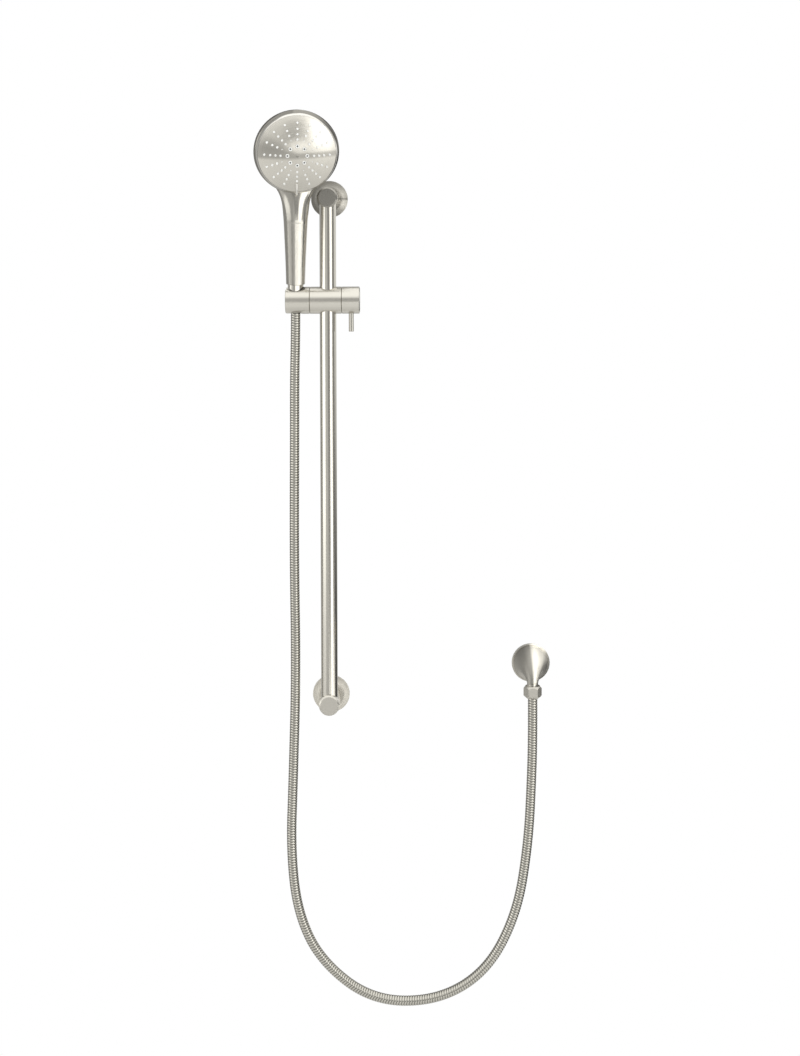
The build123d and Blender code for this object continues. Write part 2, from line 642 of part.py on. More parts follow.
def make_spray_face():
    under = FACE_THICKNESS + 0.03
    mat_back = under + 1.6
    plate = dome_slice(0, FACE_R) - dome_slice(FACE_THICKNESS, FACE_R + 1)
    holes = [nozzle(r, a, 4, 2, 1.96, 1.96) for r, a in nozzle_places()]
    holes += [nozzle(MASSAGE_RING, 45 * i, 4, 2, 3.15, 3.15) for i in range(8)]
    holes += [nozzle(MIST_RING, 22.5 + 45 * i, 4, 2, 0.95, 0.95) for i in range(8)]
    save("face_plate", face_frame * plate.cut(*holes))

    mat = dome_slice(under, 53.5) - dome_slice(mat_back, 54.5)
    nipples = [nozzle(r, a, mat_back - 0.2, 1.1, 1.9, 1.6) for r, a in nozzle_places()]
    nipples += [nozzle(MASSAGE_RING, 45 * i, mat_back - 0.2, 0.7, 3.1, 2.75) for i in range(8)]
    bores = [nozzle(r, a, mat_back + 1, 2, 0.35, 0.35) for r, a in nozzle_places()]
    bores += [nozzle(MASSAGE_RING, 45 * i, mat_back + 1, 2, 1.4, 1.4) for i in range(8)]
    bores += [nozzle(MIST_RING, 22.5 + 45 * i, mat_back + 1, 2, 1.0, 1.0) for i in range(8)]
    save("nozzle_mat", face_frame * mat.fuse(*nipples).cut(*bores))

    jets = []
    for i in range(8):
        jet = nozzle(MASSAGE_RING, 45 * i, mat_back, -0.3, 1.36, 1.36)
        jets.append(jet - nozzle(MASSAGE_RING, 45 * i, mat_back + 1, 2, 0.6, 0.6))
    save("massage_jets", face_frame * group(jets))
    mist = []
    for i in range(8):
        drop = nozzle(MIST_RING, 22.5 + 45 * i, mat_back, 0.1, 0.93, 0.85)
        mist.append(drop - nozzle(MIST_RING, 22.5 + 45 * i, mat_back + 1, 2, 0.3, 0.3))
    save("mist_jets", face_frame * group(mist))

    top = dome_height(FACE_R) + 0.15
    bead = ThreePointArc((FACE_R + 0.25, top), (59.6, 10.8), (60.3, 7.3))
    back = Polyline(
        (60.3, 7.3),
        (56.6, 7.3),
        (56.6, 5.2),
        (53.6, 5.2),
        (53.6, 9.6),
        (FACE_R + 0.1, 9.6),
        (FACE_R + 0.1, top - 0.5),
        (FACE_R + 0.25, top),
    )
    bezel = turned(bead, back)
    save("bezel_ring", face_frame * bezel)

    chamber = rod(53.5, (0, 0, 8.4), Z_AXIS, 1.6)
    chamber += tube(53.5, 51.5, (0, 0, 10.0), Z_AXIS, dome_height(53.5) - mat_back - 11.0)
    chamber -= rod(3.56, (0, 0, 0), Z_AXIS, 20)
    for radius in NOZZLE_RINGS:
        for i in range(8):
            chamber -= Rot(0, 0, 45 * i) * rod(1.4, (radius, 0, 5), Z_AXIS, 8)
    save("spray_chamber", face_frame * chamber)

    disc = rod(38.0, (0, 0, 5.1), Z_AXIS, 3.2) - rod(3.56, (0, 0, 0), Z_AXIS, 20)
    for i in range(4):
        disc -= Rot(0, 0, 22.5 + 90 * i) * rod(2.4, (20, 0, 0), Z_AXIS, 20)
    disc -= tube(33.3, 30.7, (0, 0, 5.0), Z_AXIS, 0.5)
    for angle in (-DIAL_STEP, 0, DIAL_STEP):
        disc -= Rot(0, 0, angle) * rod(2.0, (32, 0, 5.0), Z_AXIS, 0.9)
    save("diverter_disc", face_frame * disc)

    fin_half = 1.65
    fin_outline = Polyline(
        (42.4, dome_height(42.4) - 0.4),
        (45.0, 22.2),
        (52.0, 22.6),
        (60.2, 19.6),
        (62.6, 15.6),
        (62.6, 9.2),
        (58.0, 9.2),
        (54.0, 13.6),
        close=True,
    )
    fin = extrude(make_face(Plane.XZ * fin_outline), fin_half, both=True)
    ridge = [e for e in fin.edges() if abs(e.center().Y) > fin_half - 0.01]
    outer = [e for e in ridge if e.center().Z > 14.5 and e.center().X > 42.5]
    fin = fillet(outer, 0.7)
    fin -= dome_slice(0, FACE_R + 0.25)
    fin -= bezel
    fin -= rod(FACE_R + 0.3, (0, 0, 0), Z_AXIS, dome_height(FACE_R))
    fin = max(fin.solids(), key=lambda piece: piece.volume)
    save("selector_tab", face_frame * Rot(0, 0, -90) * fin)


make_rail()
make_brackets()
make_elbow()
make_hex_nut()
make_hose()
make_slider()
make_knob()
make_holder()
make_hose_end()
make_cone_nut()
make_handset_shell()
make_waterway()
make_spray_face()
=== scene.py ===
import math

import bpy
import numpy as np
from mathutils import Matrix, Vector


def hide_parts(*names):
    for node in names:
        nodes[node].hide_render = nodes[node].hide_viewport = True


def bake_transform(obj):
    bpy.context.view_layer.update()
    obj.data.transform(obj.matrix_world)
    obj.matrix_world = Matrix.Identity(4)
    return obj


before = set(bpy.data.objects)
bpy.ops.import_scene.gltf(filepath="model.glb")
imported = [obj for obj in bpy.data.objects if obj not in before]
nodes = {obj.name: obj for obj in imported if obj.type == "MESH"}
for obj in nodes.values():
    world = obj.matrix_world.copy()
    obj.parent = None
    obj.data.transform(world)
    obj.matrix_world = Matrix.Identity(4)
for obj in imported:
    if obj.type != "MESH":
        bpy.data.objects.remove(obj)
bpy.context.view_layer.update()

scene = bpy.context.scene

# Places that the materials and the hose need, in metres, in the CAD frame.
SLIDER = Vector((0.0, -0.058, 0.2265))
FACE_NORMAL = Vector((0.117582, -0.943556, -0.309638))
FACE_CENTRE = Vector((-0.043458, -0.107068, 0.447267))
UPPER_FLANGE = Vector((0.0, 0.0, 0.381))
LOWER_FLANGE = Vector((0.0, 0.0, -0.381))
ELBOW = Vector((0.3075, 0.0, -0.3344))
HORN_FOOT = Vector((0.3085, 0.0, -0.3640))
OUTWARD = (0.0, -1.0, 0.0)
HANDLE_X = -0.0488

# Camera: lens and sensor in millimetres, shift in parts of the frame's height, roll in degrees.
LENS_MM = 56.897727
SENSOR_MM = 36.0
SHIFT = (-0.0094697, -0.2447917)
CAMERA_PLACE = (0.1238, -2.575, 0.2723)
CAMERA_ROLL = 0.226


# ------------------------------------------------------------------ camera
def make_camera():
    """Level camera in front of the set, a little right of the rail, turned by a fifth of a degree."""
    data = bpy.data.cameras.new("camera")
    data.sensor_fit = "VERTICAL"
    data.sensor_height = SENSOR_MM
    data.lens = LENS_MM
    data.shift_x, data.shift_y = SHIFT
    data.clip_start = 0.05
    data.clip_end = 60.0
    camera = bpy.data.objects.new("camera", data)
    scene.collection.objects.link(camera)
    roll = math.radians(CAMERA_ROLL)
    back = Vector((0.0, -1.0, 0.0))
    up = Vector((math.sin(roll), 0.0, math.cos(roll)))
    side = up.cross(back)
    turn = Matrix((side, up, back)).transposed()
    camera.matrix_world = Matrix.Translation(CAMERA_PLACE) @ turn.to_4x4()
    scene.camera = camera


make_camera()


# ------------------------------------------------------------------ hose
HOSE_R = 0.0073
HOSE_PITCH = 0.0039
RINGS_PER_PITCH = 8
SIDES = 22
GROOVE_DEPTH = 0.00045
CROWN_RISE = 0.00006
# How far the handset lifts out, and the short run at the top that draws out with it.
LIFT = 0.040
DRAW = 0.024
DRAW_R = 0.0067

# The route from the holder to the elbow, the same points as the CAD hose.
ROUTE = [
    (-0.048995, -0.056052, 0.212638),
    (-0.049568, -0.050346, 0.172040),
    (-0.0515, -0.0475, 0.112),
    (-0.052, -0.046, 0.010),
    (-0.0532, -0.048, -0.160),
    (-0.051, -0.0465, -0.335),
    (-0.056, -0.048, -0.500),
    (-0.060, -0.049, -0.605),
    (-0.050, -0.049, -0.700),
    (-0.015, -0.0485, -0.774),
    (0.062, -0.048, -0.834),
    (0.160, -0.0465, -0.836),
    (0.236, -0.045, -0.792),
    (0.282, -0.043, -0.706),
    (0.300, -0.042, -0.600),
    (0.306, -0.0406, -0.490),
    (0.3075, -0.040, -0.425),
    (0.3075, -0.040, -0.375),
]


def route_line():
    """Points of the smooth curve through the route, and the distance of each along it."""
    curve = bpy.data.curves.new("hose_route", "CURVE")
    curve.dimensions = "3D"
    curve.resolution_u = 96
    spline = curve.splines.new("NURBS")
    spline.points.add(len(ROUTE) - 1)
    for point, place in zip(spline.points, ROUTE):
        point.co = (*place, 1.0)
    spline.order_u = 3
    spline.use_endpoint_u = True
    holder = bpy.data.objects.new("hose_route", curve)
    scene.collection.objects.link(holder)
    bpy.context.view_layer.update()
    mesh = bpy.data.meshes.new_from_object(holder)
    points = np.array([tuple(v.co) for v in mesh.vertices])
    bpy.data.objects.remove(holder)
    bpy.data.curves.remove(curve)
    bpy.data.meshes.remove(mesh)
    steps = np.linalg.norm(np.diff(points, axis=0), axis=1)
    keep = np.concatenate(([True], steps > 1e-9))
    points = points[keep]
    steps = np.linalg.norm(np.diff(points, axis=0), axis=1)
    return points, np.concatenate(([0.0], np.cumsum(steps)))


line_points, line_length = route_line()
HOSE_LENGTH = float(line_length[-1])


def line_at(distance):
    """Points of the hose's line at distances from the holder."""
    return np.stack([np.interp(distance, line_length, line_points[:, i]) for i in range(3)], 1)


def ring_frames(distance):
    """Centres and two cross directions at each distance, carried along without twist."""
    reach = 0.002
    ahead = line_at(np.clip(distance + reach, 0, HOSE_LENGTH))
    behind = line_at(np.clip(distance - reach, 0, HOSE_LENGTH))
    tangent = ahead - behind
    tangent /= np.linalg.norm(tangent, axis=1)[:, None]
    first = np.cross(tangent, np.array([0.0, -1.0, 0.0]))
    first /= np.linalg.norm(first, axis=1)[:, None]
    second = np.cross(tangent, first)
    return line_at(distance), first, second


def wound_radius(turns, outer):
    """Outside of an interlocked metal winding: rounded bands with narrow grooves between them."""
    phase = turns - np.floor(turns)
    groove = np.abs(np.cos(math.pi * phase)) ** 9
    crown = (2 * phase - 1) ** 2
    return outer - GROOVE_DEPTH * groove - CROWN_RISE * crown, groove


def wound_tube(name, distance, winding, outer):
    """A closed tube round the hose's line. Each ring's winding is the length of hose up to it."""
    centres, first, second = ring_frames(distance)
    angles = np.linspace(0, 2 * math.pi, SIDES, endpoint=False)
    turns = winding[:, None] / HOSE_PITCH + angles[None, :] / (2 * math.pi)
    radius, groove = wound_radius(turns, outer)
    across = np.cos(angles)[None, :, None] * first[:, None, :]
    across = across + np.sin(angles)[None, :, None] * second[:, None, :]
    body = centres[:, None, :] + radius[:, :, None] * across
    vertices = body.reshape(-1, 3)
    rings = len(distance)
    faces = []
    for ring in range(rings - 1):
        low = ring * SIDES
        for side in range(SIDES):
            turn = (side + 1) % SIDES
            faces.append((low + side, low + turn, low + SIDES + turn, low + SIDES + side))
    ends = [centres[0], centres[-1]]
    count = len(vertices)
    for side in range(SIDES):
        turn = (side + 1) % SIDES
        last = (rings - 1) * SIDES
        faces.append((count, turn, side))
        faces.append((count + 1, last + side, last + turn))
    mesh = bpy.data.meshes.new(name)
    mesh.from_pydata(np.concatenate([vertices, ends]).tolist(), [], faces)
    mesh.polygons.foreach_set("use_smooth", [True] * len(mesh.polygons))
    # The groove attribute also marks where the hose's material paints shade.
    depth = mesh.attributes.new("groove", "FLOAT", "POINT")
    depth.data.foreach_set("value", np.append(groove.reshape(-1), [1.0, 1.0]).astype(np.float32))
    mesh.update()
    piece = bpy.data.objects.new(name, mesh)
    scene.collection.objects.link(piece)
    return piece


def distance_at_height(height, from_holder):
    """Distance along the hose where a leg crosses a height."""
    bottom = int(np.argmin(line_points[:, 2]))
    if from_holder:
        return float(np.interp(-height, -line_points[: bottom + 1, 2], line_length[: bottom + 1]))
    return float(np.interp(height, line_points[bottom:, 2], line_length[bottom:]))


def hose_run(name, start, end):
    """One run of the hose between two distances from the holder."""
    rings = int(round((end - start) / HOSE_PITCH * RINGS_PER_PITCH)) + 1
    distance = np.linspace(start, end, rings)
    return wound_tube(name, distance, distance, HOSE_R)


# Where the runs meet, as distances from the holder.
TILT_END = 0.098
SWIVEL_END = 0.270
LEFT_END = distance_at_height(-0.615, True)
RIGHT_START = distance_at_height(-0.68, False)


def make_hose():
    """Five runs split at the joints, and a short, thinner run at the top for the part that draws out
    with the handset.
    """
    tilt_run = hose_run("hose_tilt_run", 0.0, TILT_END)
    swivel_run = hose_run("hose_swivel_run", TILT_END, SWIVEL_END)
    left_run = hose_run("hose_left_run", SWIVEL_END, LEFT_END)
    loop_run = hose_run("hose_loop_run", LEFT_END, RIGHT_START)
    right_run = hose_run("hose_right_run", RIGHT_START, HOSE_LENGTH)

    # The drawn-out run is wound close at rest and evenly when the handset is lifted out.
    lift_rest = np.linspace(0.0, DRAW, 400)
    share = 1 - lift_rest / DRAW
    weight = share * share * (3 - 2 * share)
    lifted = lift_rest + LIFT * (1 - weight)
    rings = int(round(lifted[-1] / HOSE_PITCH * RINGS_PER_PITCH)) + 1
    winding = np.linspace(0, lifted[-1], rings)
    distance = np.interp(winding, lifted, lift_rest)
    lift_run = wound_tube("hose_lift_run", distance, winding, DRAW_R)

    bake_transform(left_run)
    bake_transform(right_run)
    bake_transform(loop_run)

    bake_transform(swivel_run)
    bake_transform(tilt_run)
    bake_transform(lift_run)
    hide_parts("hose_conduit", "hose_liner")
    return [tilt_run, swivel_run, left_run, loop_run, right_run, lift_run]


hose_pieces = make_hose()


# ------------------------------------------------------------------ material tools
class Nodes:
    """A material's node tree with short ways to add and join nodes."""

    def __init__(self, name):
        self.material = bpy.data.materials.new(name)
        self.material.use_nodes = True
        self.tree = self.material.node_tree
        self.shader = next(n for n in self.tree.nodes if n.type == "BSDF_PRINCIPLED")
        self.coordinates = self.add("ShaderNodeTexCoord").outputs["Object"]

    @classmethod
    def wrap(cls, material):
        """The same tools on a material that is already made."""
        tool = cls.__new__(cls)
        tool.material = material
        tool.tree = material.node_tree
        tool.shader = next(n for n in tool.tree.nodes if n.type == "BSDF_PRINCIPLED")
        tool.coordinates = tool.add("ShaderNodeTexCoord").outputs["Object"]
        return tool

    def add(self, kind, **values):
        node = self.tree.nodes.new(kind)
        for key, value in values.items():
            setattr(node, key, value)
        return node

    def join(self, source, target):
        self.tree.links.new(source, target)

    def mapped(self, scale, location=(0, 0, 0), rotation=(0, 0, 0)):
        node = self.add("ShaderNodeMapping", vector_type="POINT")
        node.inputs["Scale"].default_value = scale
        node.inputs["Location"].default_value = location
        node.inputs["Rotation"].default_value = rotation
        self.join(self.coordinates, node.inputs["Vector"])
        return node.outputs["Vector"]

    def noise(self, vector, scale=1.0, detail=3.0, rough=0.5):
        node = self.add("ShaderNodeTexNoise")
        node.inputs["Scale"].default_value = scale
        node.inputs["Detail"].default_value = detail
        node.inputs["Roughness"].default_value = rough
        self.join(vector, node.inputs["Vector"])
        return node.outputs["Fac"]

    def spread(self, value, low, high, start=0.3, end=0.7):
        node = self.add("ShaderNodeMapRange")
        node.inputs["From Min"].default_value = start
        node.inputs["From Max"].default_value = end
        node.inputs["To Min"].default_value = low
        node.inputs["To Max"].default_value = high
        self.join(value, node.inputs["Value"])
        return node.outputs["Result"]

    def math(self, kind, first, second=None):
        node = self.add("ShaderNodeMath", operation=kind)
        for slot, value in zip(node.inputs, (first, second)):
            if isinstance(value, (int, float)):
                slot.default_value = value
            elif value is not None:
                self.join(value, slot)
        return node.outputs[0]

    def vector(self, kind, first, second):
        node = self.add("ShaderNodeVectorMath", operation=kind)
        for slot, value in zip(node.inputs, (first, second)):
            if isinstance(value, (tuple, list, Vector)):
                slot.default_value = tuple(value)
            else:
                self.join(value, slot)
        return node

    def blend_colours(self, factor, first, second):
        node = self.add("ShaderNodeMix", data_type="RGBA")
        self.join(factor, node.inputs["Factor"])
        node.inputs[6].default_value = (*first, 1.0)
        node.inputs[7].default_value = (*second, 1.0)
        return node.outputs[2]

    def bump(self, height, strength, depth):
        node = self.add("ShaderNodeBump")
        node.inputs["Strength"].default_value = strength
        node.inputs["Distance"].default_value = depth
        self.join(height, node.inputs["Height"])
        self.join(node.outputs["Normal"], self.shader.inputs["Normal"])

    def set(self, **values):
        for key, value in values.items():
            self.shader.inputs[key.replace("_", " ")].default_value = value


def tinted(colour, factor):
    return tuple(min(1.0, c * factor) for c in colour)


NICKEL = (0.632, 0.608, 0.556)
FINE_BUMP = 0.0002
GRAIN_BUMP = 0.0003


def brushed_metal(name, colour=NICKEL, rough=0.2, streaks=(900, 900, 14), strength=0.05):
    """Satin metal: cloudy tone, fine streaks along one direction in roughness and bump."""
    tool = Nodes(name)
    cloud = tool.noise(tool.mapped((1, 1, 1)), 18, 2)
    tool.join(
        tool.blend_colours(cloud, tinted(colour, 0.95), tinted(colour, 1.04)),
        tool.shader.inputs["Base Color"],
    )
    streak = tool.noise(tool.mapped(streaks), 1.0, 4, 0.6)
    tool.join(tool.spread(streak, rough * 0.8, rough * 1.25), tool.shader.inputs["Roughness"])
    tool.bump(streak, strength, FINE_BUMP)
    tool.set(Metallic=1.0)
    return tool.material


def turned_metal(name, centre, axis, colour=NICKEL, rough=0.24, anisotropic=0.6, rings=1400):
    """Metal brushed in circles about an axis: fine rings and a highlight that fans out."""
    tool = Nodes(name)
    axis = Vector(axis).normalized()
    offset = tool.vector("SUBTRACT", tool.coordinates, centre).outputs[0]
    height = tool.vector("DOT_PRODUCT", offset, axis).outputs["Value"]
    reach = tool.vector("LENGTH", offset, (0, 0, 0)).outputs["Value"]
    squared = tool.math("SUBTRACT", tool.math("POWER", reach, 2), tool.math("POWER", height, 2))
    radius = tool.math("SQRT", tool.math("MAXIMUM", squared, 0.0))
    tangent = tool.vector("CROSS_PRODUCT", offset, axis).outputs[0]
    around = tool.vector("NORMALIZE", tangent, (0, 0, 0)).outputs[0]
    coarse = tool.vector("MULTIPLY", around, (1.3, 1.3, 1.3)).outputs[0]
    combine = tool.add("ShaderNodeCombineXYZ")
    tool.join(tool.math("MULTIPLY", radius, rings), combine.inputs[0])
    place = tool.vector("ADD", coarse, combine.outputs[0]).outputs[0]
    ring = tool.noise(place, 1.0, 4, 0.65)
    cloud = tool.noise(tool.mapped((1, 1, 1)), 22, 2)
    tool.join(
        tool.blend_colours(cloud, tinted(colour, 0.95), tinted(colour, 1.05)),
        tool.shader.inputs["Base Color"],
    )
    tool.join(tool.spread(ring, rough * 0.8, rough * 1.2), tool.shader.inputs["Roughness"])
    tool.bump(ring, 0.02, FINE_BUMP)
    tool.join(around, tool.shader.inputs["Tangent"])
    tool.set(Metallic=1.0, Anisotropic=anisotropic)
    return tool.material


def wound_metal(name, colour, rough):
    """Interlocked steel band: bright crowns, painted shade darkening the grooves, fine drawing lines.
    """
    tool = Nodes(name)
    cloud = tool.noise(tool.mapped((1, 1, 1)), 40, 3)
    crown = tool.blend_colours(cloud, tinted(colour, 0.92), tinted(colour, 1.06))
    # Painted shade: where the groove attribute is high the colour falls to 0.14 of the band's.
    groove = tool.add("ShaderNodeAttribute", attribute_name="groove").outputs["Fac"]
    mix = tool.add("ShaderNodeMix", data_type="RGBA")
    tool.join(groove, mix.inputs["Factor"])
    tool.join(crown, mix.inputs[6])
    mix.inputs[7].default_value = (*tinted(colour, 0.14), 1.0)
    tool.join(mix.outputs[2], tool.shader.inputs["Base Color"])
    streak = tool.noise(tool.mapped((500, 500, 2400)), 1.0, 3, 0.6)
    tool.join(tool.spread(streak, rough * 0.8, rough * 1.25), tool.shader.inputs["Roughness"])
    tool.bump(streak, 0.03, FINE_BUMP)
    tool.set(Metallic=1.0)
    return tool.material


def plate_directions(tool, centre, axis):
    """Distances to the right and up from a centre, in the plane across an axis."""
    axis = Vector(axis).normalized()
    right = (Vector((1.0, 0.0, 0.0)) - axis * axis.x).normalized()
    up = axis.cross(right)
    offset = tool.vector("SUBTRACT", tool.coordinates, centre).outputs[0]
    across = tool.vector("DOT_PRODUCT", offset, right).outputs["Value"]
    rise = tool.vector("DOT_PRODUCT", offset, up).outputs["Value"]
    return across, rise


def scale_colour(tool, tone):
    """Multiplies the colour that a material already has by a tone."""
    shader = tool.shader.inputs["Base Color"]
    scale = tool.vector("SCALE", shader.links[0].from_socket, (0, 0, 0))
    tool.join(tone, scale.inputs["Scale"])
    tool.join(scale.outputs[0], shader)


def face_metal_painted_fan(name, centre, axis, colour, rough):
    """A plate turned in fine rings, with a painted reflection: the fan of light and dark that such a
    finish shows is painted into its colour.
    """
    material = turned_metal(name, centre, axis, colour, rough, anisotropic=0.5)
    tool = Nodes.wrap(material)
    across, rise = plate_directions(tool, centre, axis)
    # Painted reflection: a dark band across the plate's middle that widens to the left, a painted
    # highlight towards the upper right, and a painted lighter top.
    leftward = tool.math("MAXIMUM", tool.math("MULTIPLY", across, -0.5), 0.0)
    risen = tool.math("MAXIMUM", rise, 0.0)
    above = tool.math("DIVIDE", risen, tool.math("ADD", leftward, 0.0042))
    fallen = tool.math("MAXIMUM", tool.math("MULTIPLY", rise, -1.0), 0.0)
    below = tool.math("DIVIDE", fallen, 0.0048)
    band = tool.spread(tool.math("ADD", above, below), 0.64, 1.0, 0.45, 1.35)
    angle = tool.math("ARCTAN2", rise, across)
    away = tool.math("ABSOLUTE", tool.math("SUBTRACT", angle, 0.75))
    light = tool.spread(away, 1.08, 0.99, 0.35, 1.6)
    top = tool.spread(rise, 1.0, 1.32, 0.006, 0.046)
    scale_colour(tool, tool.math("MULTIPLY", tool.math("MULTIPLY", light, top), band))
    return material


def handle_metal_painted_shade(name):
    """Plated metal of the handset, with painted shade on the left of the handle."""
    material = brushed_metal(name, rough=0.2, streaks=(500, 500, 12), strength=0.02)
    tool = Nodes.wrap(material)
    # Painted shade: the colour falls to 0.70 on the left of the handle's axis, which leans with
    # height.
    split = tool.add("ShaderNodeSeparateXYZ")
    tool.join(tool.coordinates, split.inputs[0])
    lean = tool.math("MULTIPLY", tool.math("SUBTRACT", split.outputs["Z"], SLIDER.z), 0.0141)
    across = tool.math("SUBTRACT", tool.math("ADD", split.outputs["X"], -HANDLE_X), lean)
    scale_colour(tool, tool.spread(across, 0.70, 1.0, -0.0035, 0.0005))
    return material


RING_EDGE = 0.0010


def painted_fan(material, centre, stops, axis=OUTWARD, ring=None):
    """Paints a fan of light and shade round a centre into the colour, a painted reflection. Stops are
    degrees from the right, and a tone.

    With a ring, the fan stays between its two radii.
    """
    tool = Nodes.wrap(material)
    across, rise = plate_directions(tool, centre, axis)
    angle = tool.math("ARCTAN2", rise, across)
    place = tool.spread(angle, 0.0, 1.0, -math.pi, math.pi)
    ramp = tool.add("ShaderNodeValToRGB")
    elements = ramp.color_ramp.elements
    for index, (degrees, tone) in enumerate(stops):
        position = degrees / 360 + 0.5
        element = elements[index] if index < 2 else elements.new(position)
        element.position = position
        element.color = (tone, tone, tone, 1.0)
    tool.join(place, ramp.inputs["Fac"])
    tone = ramp.outputs["Color"]
    if ring:
        squares = tool.math("POWER", across, 2), tool.math("POWER", rise, 2)
        reach = tool.math("SQRT", tool.math("ADD", *squares))
        inside = tool.spread(reach, 0.0, 1.0, ring[0] - RING_EDGE, ring[0] + RING_EDGE)
        outside = tool.spread(reach, 1.0, 0.0, ring[1] - RING_EDGE, ring[1] + RING_EDGE)
        mix = tool.add("ShaderNodeMix", data_type="RGBA")
        mix.inputs[6].default_value = (1.0, 1.0, 1.0, 1.0)
        tool.join(tool.math("MULTIPLY", inside, outside), mix.inputs["Factor"])
        tool.join(tone, mix.inputs[7])
        tone = mix.outputs[2]
    # The fan's tones are painted light and shade, multiplied into the colour.
    scale_colour(tool, tone)
    return material


def moulded(name, colour, rough=0.5, grain=600, strength=0.06, **values):
    """Plastic or rubber: small tone changes, a fine moulded grain and soft roughness changes."""
    tool = Nodes(name)
    cloud = tool.noise(tool.mapped((1, 1, 1)), 60, 3)
    tool.join(
        tool.blend_colours(cloud, tinted(colour, 0.94), tinted(colour, 1.05)),
        tool.shader.inputs["Base Color"],
    )
    fine = tool.noise(tool.mapped((1, 1, 1)), grain, 3, 0.6)
    tool.join(tool.spread(fine, rough * 0.85, min(1.0, rough * 1.15)), tool.shader.inputs["Roughness"])
    tool.bump(fine, strength, GRAIN_BUMP)
    tool.set(Metallic=0.0, **values)
    return tool.material


# ------------------------------------------------------------------ materials
# Painted fans of light and shade, standing in for reflections, round the flanges, the elbow and the
# handset's rim: degrees from the right, and a tone.
UPPER_PAINTED_FAN = [
    (-180, 0.36), (-120, 0.42), (-85, 0.48), (-60, 0.52), (-42, 0.72), (-22, 1.10),
    (-5, 0.98), (1, 0.40), (7, 0.80), (22, 0.86), (45, 0.64), (75, 0.50), (120, 0.44),
    (180, 0.36),
]
LOWER_PAINTED_FAN = [
    (-180, 1.10), (-100, 1.12), (-50, 1.02), (-10, 1.08), (30, 1.0), (90, 0.98), (180, 1.10),
]
ELBOW_PAINTED_FAN = [
    (-180, 0.80), (0, 0.30), (30, 0.38), (52, 0.58), (62, 0.85), (69, 1.5), (86, 1.6),
    (91, 1.15), (94, 0.55), (104, 0.46), (118, 0.58), (134, 0.80), (180, 0.95),
]
RIM_PAINTED_FAN = [
    (-180, 0.62), (-140, 0.9), (-125, 1.0), (-55, 1.0), (-38, 0.5), (0, 0.30), (45, 0.30),
    (70, 0.42), (110, 0.46), (150, 0.55), (180, 0.62),
]
materials = {
    "rail": brushed_metal("rail_satin", rough=0.15, streaks=(1100, 1100, 9), strength=0.03),
    "satin": brushed_metal("nickel_satin", rough=0.2, streaks=(700, 700, 700), strength=0.03),
    "slider": turned_metal("slider_turned", SLIDER, (1, 0, 0), rough=0.25, anisotropic=0.35),
    "polished": brushed_metal("nickel_polished", rough=0.06, streaks=(300, 300, 300), strength=0.01),
    # Painted shade on the handset's rim, in a ring about the face, on top of the painted shade on the
    # handle's left.
    "handle": painted_fan(
        handle_metal_painted_shade("handset_plated"),
        FACE_CENTRE,
        RIM_PAINTED_FAN,
        FACE_NORMAL,
        ring=(0.0590, 0.0690),
    ),
    "face": face_metal_painted_fan("face_brushed_painted_fan", FACE_CENTRE, FACE_NORMAL, NICKEL, 0.3),
    # Painted reflection: fans of painted highlight and painted shade on the flanges and the elbow.
    "upper_flange": painted_fan(
        turned_metal("upper_flange_turned_painted_fan", UPPER_FLANGE, OUTWARD, rough=0.55, anisotropic=0.0),
        UPPER_FLANGE,
        UPPER_PAINTED_FAN,
    ),
    "lower_flange": painted_fan(
        turned_metal("lower_flange_turned_painted_fan", LOWER_FLANGE, OUTWARD, rough=0.62, anisotropic=0.0),
        LOWER_FLANGE,
        LOWER_PAINTED_FAN,
    ),
    "elbow": painted_fan(
        turned_metal("elbow_turned_painted_fan", ELBOW, OUTWARD, rough=0.5, anisotropic=0.0),
        HORN_FOOT,
        ELBOW_PAINTED_FAN,
    ),
    # Painted shade: the upper cap is a darker copy of the caps' metal, at 0.55 of the nickel where the
    # lower cap has 0.95.
    "painted_shade_cap": brushed_metal("upper_cap_face_painted_shade", tinted(NICKEL, 0.55), 0.3, (900, 900, 900), 0.01),
    "lever": brushed_metal("lever_satin", tinted(NICKEL, 0.8), 0.1, (700, 700, 20), 0.02),
    "nut": brushed_metal("nut_satin", tinted(NICKEL, 0.9), 0.42, (700, 700, 700), 0.02),
    "bezel": brushed_metal("bezel_bright", (0.72, 0.70, 0.66), 0.12, (400, 400, 400), 0.01),
    "hose": wound_metal("hose_wound", (0.52, 0.503, 0.455), 0.12),
    "cap": brushed_metal("cap_face", tinted(NICKEL, 0.95), 0.34, (900, 900, 900), 0.01),
    "silicone": moulded("nozzle_silicone", (0.86, 0.86, 0.84), 0.42, 900),
    "jet": moulded("jet_dark", (0.035, 0.033, 0.03), 0.35),
    "natural": moulded("inner_natural", (0.70, 0.69, 0.66), 0.45),
    "guide": moulded("guide_dark", (0.03, 0.03, 0.03), 0.4),
    "rubber": moulded("seal_black", (0.012, 0.012, 0.012), 0.6),
    "brass": brushed_metal("brass_turned", (0.74, 0.56, 0.27), 0.26, (900, 900, 900), 0.04),
    "steel": brushed_metal("steel_plain", (0.52, 0.52, 0.52), 0.3, (900, 900, 900), 0.05),
    "liner": moulded("liner_grey", (0.30, 0.30, 0.30), 0.5),
}

